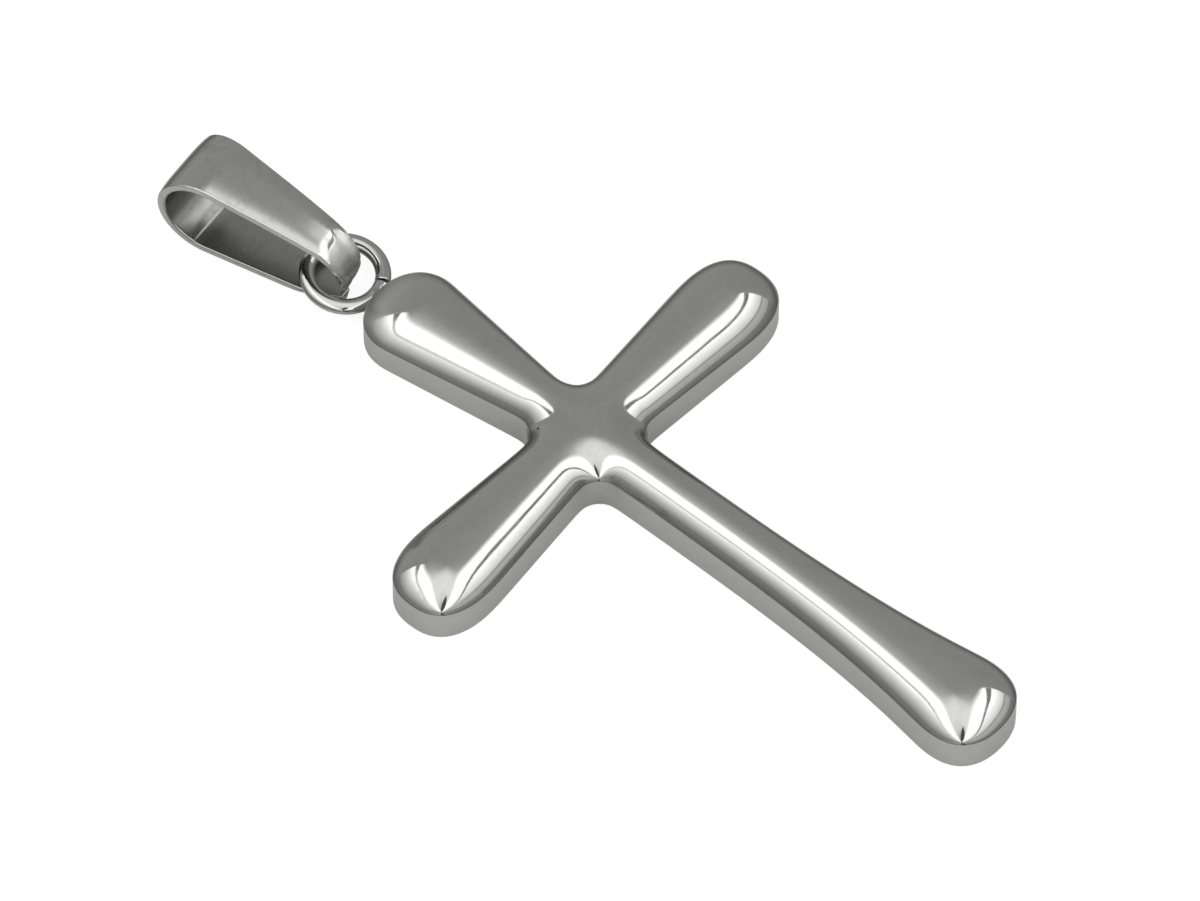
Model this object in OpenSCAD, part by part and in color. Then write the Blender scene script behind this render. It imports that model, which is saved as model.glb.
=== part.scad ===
// Cross pendant of polished steel, lying on its back.
// The origin is on the flat back, under the point where the arms cross.
// +Y runs up the top arm to the bail, +X along the right arm, +Z out of the front.

/* [Cross outline] */
// Length of the top arm from the crossing to its end
top_arm = 15.4; // [13:0.1:20]
// Length of the foot from the crossing to its end
foot_arm = 29.6; // [22:0.1:38]
// Length of each side arm from the crossing to its end
side_arm = 14.9; // [12:0.1:19]
// Width of the upright beside the crossing
upright_neck_w = 3.3; // [2.6:0.1:4.2]
// Width of the side arms beside the crossing
side_neck_w = 4.2; // [3:0.1:5]
// Width that the top arm flares to
top_end_w = 6.7; // [5:0.1:8]
// Width that the foot flares to
foot_end_w = 7.3; // [5:0.1:9]
// Width that the side arms flare to
side_end_w = 6.2; // [5:0.1:8]
// Length of the rounded end of the top arm
top_round = 3; // [2:0.1:4.5]
// Length of the rounded end of the foot
foot_round = 4; // [2:0.1:6]
// Length of the rounded end of each side arm
side_round = 4.6; // [2:0.1:6]
// Radius of the four inner corners
corner_r = 1.4; // [0.6:0.1:2.4]

/* [Cross section] */
// Height of the ridge above the back
thickness = 3.7; // [3:0.1:6]
// Height of the side wall beside the crossing, up to the crease
wall_root = 2.3; // [1:0.1:2.5]
// Height of the side wall at the end of the top arm
wall_top = 1.9; // [1:0.1:2.5]
// Height of the side wall at the end of the foot
wall_foot = 2.2; // [1:0.1:2.5]
// Height of the side wall at the end of the left arm
wall_left = 2.2; // [1:0.1:2.5]
// Height of the side wall at the end of the right arm, polished down a little further
wall_right = 1.8; // [1:0.1:2.5]
// Angle of the dome's round above its crease, 90 for a full half round
dome_angle = 70; // [50:1:80]

/* [Jump ring] */
// Diameter of the ring's round wire
wire_d = 0.9; // [0.6:0.05:1.2]
// Radius of the ring, to the middle of its wire
ring_r = 2.15; // [1.9:0.05:2.6]
// Height of the wire's middle where the ring is soldered on
ring_z = 0.9; // [0.7:0.05:1.2]
// Tilt of the ring, its free side raised
ring_tilt = 6; // [3:1:10]
// Depth that the wire sinks into the end of the arm
ring_sink = 0.1; // [0.05:0.05:0.3]
// Width of the split in the wire
split_gap = 0.12; // [0.05:0.01:0.3]
// Angle from the arm's axis round to the split
split_turn = 27; // [22:1:60]

/* [Solder] */
// Diameter of the solder between ring and arm
solder_d = 1.1; // [0.8:0.1:1.3]
// Extra radius of the solder where it spreads on the arm
solder_flare = 0.3; // [0.1:0.05:0.35]

/* [Bail] */
// Thickness of the bail's strap
strap_t = 0.6; // [0.4:0.05:0.7]
// Outer radius of the bail's round top
loop_r = 3; // [2.6:0.1:4]
// Distance from the tip to the middle of the round top
loop_reach = 8.55; // [7.5:0.05:11]
// Outer radius of the narrow end, where the front leg turns down to the tip
nose_r = 3; // [2.8:0.1:3.2]
// Distance from the tip to the middle of the narrow end's round
nose_reach = 2.6; // [2.4:0.05:2.8]
// Height of the middle of the narrow end's round
nose_z = 1.6; // [1.4:0.05:1.9]
// Rise of the lower leg from the floor towards the tip, in degrees
leg_rise = 0.5; // [0:0.5:3]
// Width of the strap at the tip's end, before it is pinched
strap_narrow_w = 2.1; // [1.8:0.1:2.4]
// Width of the strap at the round top
strap_wide_w = 4.55; // [4:0.05:6]
// Width of the pinched tip
tip_w = 0.3; // [0.2:0.05:0.6]
// Turn of the pinched faces towards the bail's axis
pinch_turn = 23; // [20:1:28]
// Lean of the pinched faces under the tip
pinch_lean = 24; // [20:1:28]
// Swing of the bail to the left on its ring
bail_swing = 6.5; // [2:0.5:9]
// Distance of the tip from the ring's middle, along the pendant's axis
tip_back = 0.75; // [0.6:0.05:0.9]
// Distance of the tip to the left of the ring's middle
tip_left = 0.55; // [0.3:0.05:0.6]

/* [Hidden] */

// Counts of points along the outline and over the dome
FLARE_STEPS = 8;
ROUND_STEPS = 12;
CORNER_STEPS = 8;
DOME_STEPS = 7;
// Share of the half width that stays flat along the ridge
RIDGE_SHARE = 0.09;
// How fast the arms flare: 1 is a straight flare, more keeps the neck slim for longer
TOP_FLARE = 1;
SIDE_FLARE = 1;
FOOT_FLARE = 3.5;
// How square the rounded ends are: 2 is an ellipse
TOP_SQUARE = 2;
SIDE_SQUARE = 2.4;
FOOT_SQUARE = 2.2;
// How tightly the ridges turn into each other at the crossing
RIDGE_TURN = 5;
// Smoothness of the round solids
ROUND_FN = 96;
// Overlap that lets cutting shapes pass clear of what they cut
CUT = 1;

upright_neck = upright_neck_w / 2;
side_neck = side_neck_w / 2;
wire_r = wire_d / 2;
// Where the straight edges leave the inner corners
upright_start = side_neck + corner_r;
side_start = upright_neck + corner_r;

// Angle of the dome's round where the flat of the ridge begins
ridge_angle = asin(RIDGE_SHARE * sin(dome_angle));

// Middle of the ring, tilted about the point where it is soldered
ring_out = ring_r + wire_r - ring_sink;
ring_y = top_arm + ring_out * cos(ring_tilt);
ring_mid_z = ring_z + ring_out * sin(ring_tilt);

// Stations along one arm, from its neck to its end. Each is
// [distance along the arm, half width, distance of its ridge point, height of its crease]
function stations(len, start, neck, wide, cap, flare, square, wall) =
    [for (i = [0 : FLARE_STEPS + ROUND_STEPS])
        let (angle = 90 * max(0, i - FLARE_STEPS) / ROUND_STEPS,
             t = i < FLARE_STEPS ? start + (len - cap - start) * i / FLARE_STEPS
                                 : len - cap + cap * pow(sin(angle), 2 / square),
             share = (t - start) / (len - start),
             flared = neck + (wide - neck) * pow(share, flare))
        [t, flared * pow(cos(angle), 2 / square), min(t, len - wide),
         wall_root + (wall - wall_root) * share]];

// An arm's stations as outline points, each [x, y, ridge x, ridge y, crease]
function along_side(rows, sx, sy) = [for (r = rows) [sx * r[0], sy * r[1], sx * r[2], 0, r[3]]];
function along_upright(rows, sx, sy) = [for (r = rows) [sx * r[1], sy * r[0], 0, sy * r[2], r[3]]];

// An inner corner, from the side arm's edge round to the upright's edge
function corner(sx, sy) =
    [for (i = [1 : CORNER_STEPS - 1])
        let (a = 90 * i / CORNER_STEPS)
        [sx * (side_start - corner_r * sin(a)), sy * (upright_start - corner_r * cos(a)),
         sx * side_start * pow(cos(a), RIDGE_TURN), sy * upright_start * pow(sin(a), RIDGE_TURN),
         wall_root]];

function backwards(list) = [for (i = [len(list) - 1 : -1 : 0]) list[i]];
function without_first(list) = [for (i = [1 : len(list) - 1]) list[i]];

// The whole outline, anticlockwise from the end of the right arm
function cross_outline() =
    let (right = stations(side_arm, side_start, side_neck, side_end_w / 2,
                          side_round, SIDE_FLARE, SIDE_SQUARE, wall_right),
         left = stations(side_arm, side_start, side_neck, side_end_w / 2,
                         side_round, SIDE_FLARE, SIDE_SQUARE, wall_left),
         top = stations(top_arm, upright_start, upright_neck, top_end_w / 2,
                        top_round, TOP_FLARE, TOP_SQUARE, wall_top),
         foot = stations(foot_arm, upright_start, upright_neck, foot_end_w / 2,
                         foot_round, FOOT_FLARE, FOOT_SQUARE, wall_foot))
    concat(
        backwards(along_side(right, 1, 1)), corner(1, 1), along_upright(top, 1, 1),
        without_first(backwards(along_upright(top, -1, 1))), backwards(corner(-1, 1)),
        along_side(left, -1, 1),
        without_first(backwards(along_side(left, -1, -1))), corner(-1, -1),
        along_upright(foot, -1, -1),
        without_first(backwards(along_upright(foot, 1, -1))), backwards(corner(1, -1)),
        [for (i = [0 : FLARE_STEPS + ROUND_STEPS - 1]) along_side(right, 1, -1)[i]]);

// One level of the dome: each outline point moved towards its ridge point by the
// sine of the angle, and raised by the cosine, from the crease to the ridge
function dome_level(outline, angle) =
    let (near = sin(angle) / sin(dome_angle),
         rise = (cos(angle) - cos(dome_angle)) / (cos(ridge_angle) - cos(dome_angle)))
    [for (p = outline)
        [p[2] + (p[0] - p[2]) * near, p[3] + (p[1] - p[3]) * near,
         p[4] + (thickness - p[4]) * rise]];

// Faces that close one level, anticlockwise: strips across each arm, and a fan round
// the middle of the crossing. The first point of the level is at the right arm's end
function lid(first, middle, count) =
    let (arm = FLARE_STEPS + ROUND_STEPS, at = function (i) first + (i + count) % count)
    [for (tip = [0 : count / 4 : count - 1])
        each concat(
            [[at(tip - 1), at(tip), at(tip + 1)]],
            [for (i = [1 : arm - 1])
                [at(tip - i - 1), at(tip - i), at(tip + i), at(tip + i + 1)]],
            [[middle, at(tip - arm), at(tip + arm)]],
            [for (i = [arm : arm + CORNER_STEPS - 1]) [middle, at(tip + i), at(tip + i + 1)]])];

// Flat back, upright wall, crease, and the dome in levels up to the ridge
module cross_body() {
    outline = cross_outline();
    count = len(outline);
    levels = concat(
        [[for (p = outline) [p[0], p[1], 0]]],
        [for (k = [0 : DOME_STEPS])
            dome_level(outline, dome_angle + (ridge_angle - dome_angle) * k / DOME_STEPS)]);
    last = count * (len(levels) - 1);
    sides = [for (level = [0 : len(levels) - 2]) for (i = [0 : count - 1])
        let (low = level * count + i, next = level * count + (i + 1) % count)
        each [[low, low + count, next + count], [low, next + count, next]]];
    polyhedron(
        points = concat([for (level = levels) each level], [[0, 0, 0], [0, 0, thickness]]),
        faces = concat(
            lid(0, last + count, count), sides,
            [for (face = lid(last, last + count + 1, count)) backwards(face)]),
        convexity = 8);
}

// Everything on the ring is placed from its middle
module at_ring() {
    translate([0, ring_y, ring_mid_z]) rotate([ring_tilt, 0, 0]) children();
}

// Round wire bent to a ring, with the split beside the solder left open
module jump_ring() {
    at_ring() difference() {
        rotate_extrude($fn = ROUND_FN) translate([ring_r, 0]) circle(d = wire_d, $fn = ROUND_FN / 2);
        rotate([0, 0, split_turn - 90])
            translate([ring_r - wire_d, -split_gap / 2, -wire_d])
            cube([2 * wire_d, split_gap, 2 * wire_d]);
    }
}

// A short round neck that reaches the middle of the wire and flares onto the arm
module solder() {
    translate([0, top_arm, ring_z]) rotate([-90, 0, 0])
        translate([0, 0, -solder_flare]) {
            cylinder(d = solder_d, h = solder_flare + wire_r, $fn = ROUND_FN);
            cylinder(r1 = solder_d / 2 + solder_flare, r2 = solder_d / 2, h = 2 * solder_flare,
                     $fn = ROUND_FN);
        }
}

// The cross with its ring soldered on, which makes them one piece of metal
module cross() {
    color("silver") {
        cross_body();
        jump_ring();
        solder();
    }
}

// Outline of the bail seen from the side, its tip at the origin and its round top
// along +X. The inset moves every edge inwards, so it also gives the strap's inside
module loop_shape(inset) {
    reach = [loop_reach - nose_reach, loop_r - nose_z];
    span = norm(reach);
    // Direction square to the front leg, which is tangent to both rounds
    slope = atan2(reach[1], reach[0]) + asin((loop_r - nose_r) / span);
    out = [-sin(slope), cos(slope)];
    intersection() {
        union() {
            translate([loop_reach, loop_r]) circle(r = loop_r - inset, $fn = ROUND_FN);
            translate([nose_reach, nose_z]) circle(r = nose_r - inset, $fn = ROUND_FN);
            polygon([
                [loop_reach, loop_r] + (loop_r - inset) * out,
                [nose_reach, nose_z] + (nose_r - inset) * out,
                [nose_reach, -CUT],
                [loop_reach, -CUT]]);
        }
        // All that lies above the lower leg
        translate([loop_reach, loop_r]) rotate(-leg_rise)
            translate([-2 * loop_reach, inset - loop_r]) square([4 * loop_reach, 4 * loop_r]);
    }
}

// The strap seen from above: narrow at the tip, wide at the round top
module strap_plan() {
    end = loop_reach + loop_r;
    polygon([
        [-strap_narrow_w / 2, -CUT], [strap_narrow_w / 2, -CUT], [strap_narrow_w / 2, 0],
        [strap_wide_w / 2, end], [strap_wide_w / 2, end + CUT],
        [-strap_wide_w / 2, end + CUT], [-strap_wide_w / 2, end], [-strap_narrow_w / 2, 0]]);
}

// The face that pinches one side of the tip, its cutting block outside the strap
module pinch() {
    block = 3 * loop_r;
    translate([tip_w / 2, 0, 0]) rotate([0, pinch_lean, -pinch_turn])
        translate([0, -block / 2, -block / 2]) cube([block, block, block]);
}

// Tapered strap folded over through the ring, its two ends meeting at the tip
module bail() {
    color("gainsboro")
    translate([-tip_left, ring_y - tip_back, 0]) rotate([0, 0, bail_swing]) difference() {
        intersection() {
            rotate([90, 0, 90]) linear_extrude(height = strap_wide_w + 2 * CUT, center = true)
                difference() {
                    loop_shape(0);
                    loop_shape(strap_t);
                }
            translate([0, 0, -CUT]) linear_extrude(height = 2 * loop_r + 2 * CUT) strap_plan();
        }
        pinch();
        mirror([1, 0, 0]) pinch();
    }
}

cross();
bail();
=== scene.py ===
# %% [markdown]
# A polished steel cross pendant, lying on its back
#
# This lesson dresses a finished solid model for a picture. The real pendant is
# cast in steel, ground to a pillow shaped front and polished until it mirrors
# the room, so almost all that the eye sees is reflection. That decides how the
# pieces are made: every surface is a smooth function worked out with numpy, so
# the highlights run along it without a facet.

# %% Load the frame
import math

import bpy
import numpy as np
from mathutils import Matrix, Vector


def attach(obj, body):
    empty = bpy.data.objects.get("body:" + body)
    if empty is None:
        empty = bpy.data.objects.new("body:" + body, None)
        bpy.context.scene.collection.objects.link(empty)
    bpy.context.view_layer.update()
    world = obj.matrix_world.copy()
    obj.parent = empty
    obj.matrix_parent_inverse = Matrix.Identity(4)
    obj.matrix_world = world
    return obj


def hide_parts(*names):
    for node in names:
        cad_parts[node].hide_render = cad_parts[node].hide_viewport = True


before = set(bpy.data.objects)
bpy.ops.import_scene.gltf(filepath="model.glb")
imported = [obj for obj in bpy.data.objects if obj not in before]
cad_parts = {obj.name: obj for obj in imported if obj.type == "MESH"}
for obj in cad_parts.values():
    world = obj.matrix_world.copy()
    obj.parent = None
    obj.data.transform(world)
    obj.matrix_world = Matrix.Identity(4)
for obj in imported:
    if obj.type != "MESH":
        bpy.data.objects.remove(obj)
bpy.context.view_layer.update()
MM = 0.001

# %% [markdown]
# The camera comes first, because every later choice is judged through it. The
# pendant is small and was pictured from far away with a long lens, so its arms
# hardly shrink with distance.

# %% Camera
CAMERA_TURN = -49.4
CAMERA_RISE = 55.5
CAMERA_DISTANCE = 570 * MM
CAMERA_TARGET = np.array([0.783, -0.233, 0.0]) * MM
SENSOR_W, LENS = 36.0, 308.5
NEAREST, FURTHEST = 0.01, 20.0


def direction(turn, rise):
    """Unit vector from the target to the camera: the turn is counted from -Y towards +X,
    the rise is the angle above the floor, both in degrees."""
    a, e = math.radians(turn), math.radians(rise)
    return np.array([math.sin(a) * math.cos(e), -math.cos(a) * math.cos(e), math.sin(e)])


def look_at(obj, place, target):
    """Puts an object at a place and turns its -Z axis to the target, its X axis level."""
    obj.location = Vector(place)
    obj.rotation_mode = "QUATERNION"
    obj.rotation_quaternion = (Vector(target) - Vector(place)).to_track_quat("-Z", "Y")


camera = bpy.data.objects.new("camera", bpy.data.cameras.new("camera"))
bpy.context.scene.collection.objects.link(camera)
camera.data.sensor_width = SENSOR_W
camera.data.lens = LENS
camera.data.clip_start, camera.data.clip_end = NEAREST, FURTHEST
look_at(camera, CAMERA_TARGET + CAMERA_DISTANCE * direction(CAMERA_TURN, CAMERA_RISE), CAMERA_TARGET)
bpy.context.scene.camera = camera
print("camera at", [round(c, 4) for c in camera.location])

# %% [markdown]
# Every new piece is a grid of points, so one helper turns grids into meshes. It
# takes rows of points and joins each row to the next. A row that runs round the
# piece is closed on itself.

# %% Grids to meshes


def grid_faces(rows, columns, round_columns=True):
    """Quads between neighbouring rows of a grid: point (r, c) has the number
    r * columns + c, and each quad takes (r, c), (r, c + 1), (r + 1, c + 1), (r + 1, c)."""
    r, c = np.meshgrid(np.arange(rows - 1), np.arange(columns if round_columns else columns - 1),
                       indexing="ij")
    n = (c + 1) % columns
    return np.stack([r * columns + c, r * columns + n,
                     (r + 1) * columns + n, (r + 1) * columns + c], -1).reshape(-1, 4)


def fan_faces(ring, middle, flip=False):
    """Triangles from a closed ring of point numbers to one middle point."""
    after = np.roll(ring, -1)
    sides = (after, ring) if flip else (ring, after)
    return np.stack([*sides, np.full(len(ring), middle)], -1)


def make_piece(name, points_mm, faces):
    """A smooth mesh object in metres from points in millimetres and a list of face arrays."""
    mesh = bpy.data.meshes.new(name)
    mesh.from_pydata((np.asarray(points_mm) * MM).tolist(), [],
                     [f for group in faces for f in np.asarray(group).tolist()])
    mesh.validate()
    mesh.polygons.foreach_set("use_smooth", np.full(len(mesh.polygons), True))
    mesh.update()
    piece = bpy.data.objects.new(name, mesh)
    bpy.context.scene.collection.objects.link(piece)
    print(f"{name}: {len(mesh.vertices)} points, {len(mesh.polygons)} faces")
    return piece


# %% [markdown]
# The cross has four arms that flare towards round ends. Seen from above, each
# arm is a row of stations from the crossing outwards, and each station has a
# half width, the point of the ridge that it belongs to and the height of the
# crease where the side wall stops. The ridge widens to a narrow flat towards
# the ends, because a polisher lingers there, and that makes the sides of the
# dome steeper. The same values as in the solid model keep the two shapes together.

# %% Sizes of the cross, in millimetres
TOP_ARM, FOOT_ARM, SIDE_ARM = 15.4, 29.6, 14.9
UPRIGHT_NECK, SIDE_NECK = 1.65, 2.1
CORNER_R = 1.4
THICKNESS = 3.7
WALL_ROOT = 2.3
DOME_ANGLE = math.radians(70)
UPRIGHT_START, SIDE_START = SIDE_NECK + CORNER_R, UPRIGHT_NECK + CORNER_R

FLARE_STEPS, ROUND_STEPS, CORNER_STEPS = 90, 56, 48
# For each arm: length, start, half neck, half end, rounded length, flare, squareness, end wall
# and the share of the half width that is flat at the end
ARMS = {
    "right": (SIDE_ARM, SIDE_START, SIDE_NECK, 3.1, 4.6, 1.0, 2.4, 1.8, 0.12),
    "left": (SIDE_ARM, SIDE_START, SIDE_NECK, 3.1, 4.6, 1.0, 2.4, 2.2, 0.25),
    "top": (TOP_ARM, UPRIGHT_START, UPRIGHT_NECK, 3.35, 3.0, 1.0, 2.0, 1.9, 0.0),
    "foot": (FOOT_ARM, UPRIGHT_START, UPRIGHT_NECK, 3.65, 4.0, 3.5, 2.2, 2.2, 0.28),
}
print("cross in mm:", TOP_ARM + FOOT_ARM, "long,", 2 * SIDE_ARM, "wide")

# %% Outline of the cross
RIDGE_SOFT = 1.5


def arm_stations(length, start, neck, wide, cap, flare, square, wall, flat):
    """Columns t, half width, ridge place, crease height and half width of the flat along one
    arm. Up to the cap the half width is neck + (wide - neck) * share ** flare, with the share
    counted from the neck to the end. Over the cap it is also multiplied by
    cos(a) ** (2 / square), while t = length - cap + cap * sin(a) ** (2 / square), which draws
    a squarish ellipse. The ridge place is the lesser of t and length - wide * (1 - flat), with
    a soft change between them. The flat's half width is flat * half width * share ** 2."""
    a = np.concatenate([np.zeros(FLARE_STEPS), np.linspace(0, math.pi / 2, ROUND_STEPS + 1)])
    t = length - cap + cap * np.sin(a) ** (2 / square)
    t[:FLARE_STEPS] = start + (length - cap - start) * np.arange(FLARE_STEPS) / FLARE_STEPS
    share = (t - start) / (length - start)
    half = (neck + (wide - neck) * share ** flare) * np.cos(a).clip(0) ** (2 / square)
    stop = length - wide * (1 - flat)
    ridge = (t + stop - np.sqrt((t - stop) ** 2 + RIDGE_SOFT ** 2)) / 2
    spread = flat * half * share ** 2
    return np.stack([t, half, ridge, WALL_ROOT + (wall - WALL_ROOT) * share, spread], -1)


def side_edge(rows, sx, sy):
    """Stations of a side arm as outline points: x, y, ridge x, ridge y, crease height. The
    ridge point is on the edge of the flat."""
    t, half, ridge, crease, spread = rows.T
    return np.stack([sx * t, sy * half, sx * ridge, sy * spread, crease], -1)


def upright_edge(rows, sx, sy):
    """Stations of the top arm or the foot as outline points."""
    t, half, ridge, crease, spread = rows.T
    return np.stack([sx * half, sy * t, sx * spread, sy * ridge, crease], -1)


RIDGE_TURN = 5


def inner_corner(sx, sy):
    """A quarter circle of radius CORNER_R from the side arm's edge to the upright's. Its
    ridge points leave the side arm's ridge as cos(a) ** RIDGE_TURN and reach the upright's
    as sin(a) ** RIDGE_TURN, so the two ridges melt into each other."""
    a = np.linspace(0, math.pi / 2, CORNER_STEPS + 1)[1:-1]
    return np.stack([sx * (SIDE_START - CORNER_R * np.sin(a)), sy * (UPRIGHT_START - CORNER_R * np.cos(a)),
                     sx * SIDE_START * np.cos(a) ** RIDGE_TURN,
                     sy * UPRIGHT_START * np.sin(a) ** RIDGE_TURN, np.full(len(a), WALL_ROOT)], -1)


def cross_outline():
    """The whole outline, anticlockwise from the end of the right arm."""
    right, left, top, foot = (arm_stations(*ARMS[k]) for k in ("right", "left", "top", "foot"))
    return np.concatenate([
        side_edge(right, 1, 1)[::-1], inner_corner(1, 1), upright_edge(top, 1, 1),
        upright_edge(top, -1, 1)[::-1][1:], inner_corner(-1, 1)[::-1], side_edge(left, -1, 1),
        side_edge(left, -1, -1)[::-1][1:], inner_corner(-1, -1), upright_edge(foot, -1, -1),
        upright_edge(foot, 1, -1)[::-1][1:], inner_corner(1, -1)[::-1], side_edge(right, 1, -1)[:-1]])


EVEN_OUT = 0.4


def soften_corners(outline, rounds=50, reach=34, fade=16):
    """Every column is averaged with its neighbours, a quarter, a half and a quarter, many
    times over, so that arm and corner meet without a kink. The change is full up to `reach`
    points from the middle of an inner corner. Beyond, it falls to the share EVEN_OUT."""
    quarter = len(outline) // 4
    off = np.abs(np.arange(len(outline)) % quarter - quarter / 2)
    share = ((reach + fade - off) / fade).clip(EVEN_OUT, 1)[:, None]
    for _ in range(rounds):
        mean = (np.roll(outline, 1, 0) + 2 * outline + np.roll(outline, -1, 0)) / 4
        outline = outline + share * (mean - outline)
    return outline


outline = soften_corners(cross_outline())
print("outline points:", len(outline))

# %% [markdown]
# The front is a dome over that outline. A subdivided block would do, but its
# highlights would wander. Here each level of the dome moves every outline point
# towards its own ridge point by the sine of an angle and lifts it by the cosine,
# so every cross section is part of an ellipse and the crease stays crisp. The
# crease and the lower edge get small rounds, because polishing never leaves a
# knife edge.

# %% Cross body
CREASE_SOFT = 0.09
BACK_SOFT = 0.16
BACK_LEVELS, WALL_LEVELS, CREASE_LEVELS, DOME_LEVELS = 6, 6, 8, 44
# The dome's own levels start beyond the crease's round, and DOME_R is about its radius there
DOME_R = 2.2
SOFT_ANGLE, LAST_ANGLE = DOME_ANGLE - CREASE_SOFT / DOME_R, math.radians(1.2)


def dome_level(outline, angle):
    """One level of the dome. With n = sin(angle) / sin(dome angle) and
    h = (cos(angle) - cos(dome angle)) / (1 - cos(dome angle)), a point lies at
    ridge + n * (outline - ridge), at the height crease + h * (thickness - crease)."""
    near = math.sin(angle) / math.sin(DOME_ANGLE)
    rise = (math.cos(angle) - math.cos(DOME_ANGLE)) / (1 - math.cos(DOME_ANGLE))
    level = np.empty((len(outline), 3))
    level[:, :2] = outline[:, 2:4] + near * (outline[:, :2] - outline[:, 2:4])
    level[:, 2] = outline[:, 4] + rise * (THICKNESS - outline[:, 4])
    return level


def cross_levels(outline):
    """All levels from the back to the ridge: a quarter round at the back edge, the upright
    wall, a short curve over the crease, and the dome."""
    edge = outline[:, :2]
    inward = outline[:, 2:4] - edge
    inward /= np.linalg.norm(inward, axis=1)[:, None].clip(1e-9)
    levels = []
    for a in np.linspace(math.pi / 2, 0, BACK_LEVELS):
        levels.append(np.column_stack([edge + inward * BACK_SOFT * (1 - math.cos(a)),
                                       np.full(len(edge), BACK_SOFT * (1 - math.sin(a)))]))
    wall_foot = levels[-1]
    below = np.column_stack([edge, outline[:, 4] - CREASE_SOFT])
    crease = np.column_stack([edge, outline[:, 4]])
    for k in np.linspace(0, 1, WALL_LEVELS)[1:-1]:
        levels.append(wall_foot + (below - wall_foot) * k)
    above = dome_level(outline, SOFT_ANGLE)
    for k in np.linspace(0, 1, CREASE_LEVELS):
        levels.append((1 - k) ** 2 * below + 2 * k * (1 - k) * crease + k ** 2 * above)
    for angle in np.linspace(SOFT_ANGLE, LAST_ANGLE, DOME_LEVELS)[1:]:
        levels.append(dome_level(outline, angle))
    return np.stack(levels)


def lid_faces(first, middle, count):
    """Faces that close one level: strips across each arm, from its end to its neck, and a
    fan round the middle of the crossing."""
    arm = FLARE_STEPS + ROUND_STEPS
    i = np.arange(1, arm)
    quads, triangles = [], []
    for tip in range(0, count, count // 4):
        at = lambda k: first + (tip + k) % count
        quads.append(np.stack([at(-i - 1), at(-i), at(i), at(i + 1)], -1))
        k = np.arange(arm, arm + CORNER_STEPS)
        triangles.append(np.stack([np.full(len(k), middle), at(k), at(k + 1)], -1))
        triangles.append(np.array([[at(-1), at(0), at(1)], [middle, at(-arm), at(arm)]]))
    return [np.concatenate(quads), np.concatenate(triangles)]


levels = cross_levels(outline)
count = len(outline)
points = np.concatenate([levels.reshape(-1, 3), [[0, 0, 0], [0, 0, levels[-1, 0, 2]]]])
back_lid = lid_faces(0, len(points) - 2, count)
front_lid = lid_faces((len(levels) - 1) * count, len(points) - 1, count)
cross_body = make_piece("cross_body", points, [
    grid_faces(len(levels), count), front_lid[0], front_lid[1],
    back_lid[0][:, ::-1], back_lid[1][:, ::-1]])

# %% [markdown]
# The jump ring is round wire bent to a ring, with its ends left a hair apart
# beside the solder. A ready made torus would have no ends, so the wire is a
# circle carried along an arc that stops short, and its ends are closed by
# shrinking the last circles.

# %% Jump ring
WIRE_R, RING_R, RING_TILT = 0.45, 2.15, math.radians(6)
RING_SINK, RING_Z = 0.1, 0.9
RING_OUT = RING_R + WIRE_R - RING_SINK
RING_MIDDLE = np.array([0, TOP_ARM + RING_OUT * math.cos(RING_TILT), RING_Z + RING_OUT * math.sin(RING_TILT)])
SPLIT_GAP, SPLIT_TURN = 0.12, math.radians(-63)
END_SOFT = 0.08


def jump_ring_points(along=300, around=40):
    """Rows of circles along the ring. The circle's radius is the wire's, and falls by
    END_SOFT * (1 - sqrt(1 - s * s)) over the last END_SOFT of length, where s runs from 0 to 1."""
    half_gap = SPLIT_GAP / 2 / RING_R
    soft = END_SOFT / RING_R
    s = np.linspace(0, 1, 7)[1:]
    body = np.linspace(SPLIT_TURN + half_gap + soft, SPLIT_TURN + 2 * math.pi - half_gap - soft, along)
    turn = np.concatenate([body[0] - soft * s[::-1], body, body[-1] + soft * s])
    shrink = np.concatenate([s[::-1], np.zeros(along), s])
    radius = WIRE_R - END_SOFT * (1 - np.sqrt((1 - shrink ** 2).clip(0)))
    b = np.linspace(0, 2 * math.pi, around, endpoint=False)
    out = RING_R + radius[:, None] * np.cos(b)
    flat = np.stack([out * np.cos(turn)[:, None], out * np.sin(turn)[:, None],
                     radius[:, None] * np.sin(b) + 0 * out], -1)
    c, t = math.cos(RING_TILT), math.sin(RING_TILT)
    return np.stack([flat[..., 0], flat[..., 1] * c - flat[..., 2] * t,
                     flat[..., 1] * t + flat[..., 2] * c], -1) + RING_MIDDLE


ring_rows = jump_ring_points()
rows, around = ring_rows.shape[:2]
points = np.concatenate([ring_rows.reshape(-1, 3), [ring_rows[0].mean(0), ring_rows[-1].mean(0)]])
jump_ring = make_piece("jump_ring", points, [
    grid_faces(rows, around)[:, ::-1],
    fan_faces(np.arange(around), len(points) - 2),
    fan_faces(np.arange((rows - 1) * around, rows * around), len(points) - 1, flip=True)])

# %% [markdown]
# The ring is held by a little puddle of solder. A plain cylinder would look
# machined, so this is a neck whose radius flares to the arm and wavers gently
# round its side, as metal does when it has run and set.

# %% Solder
SOLDER_R, SOLDER_FLARE = 0.55, 0.3


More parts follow.
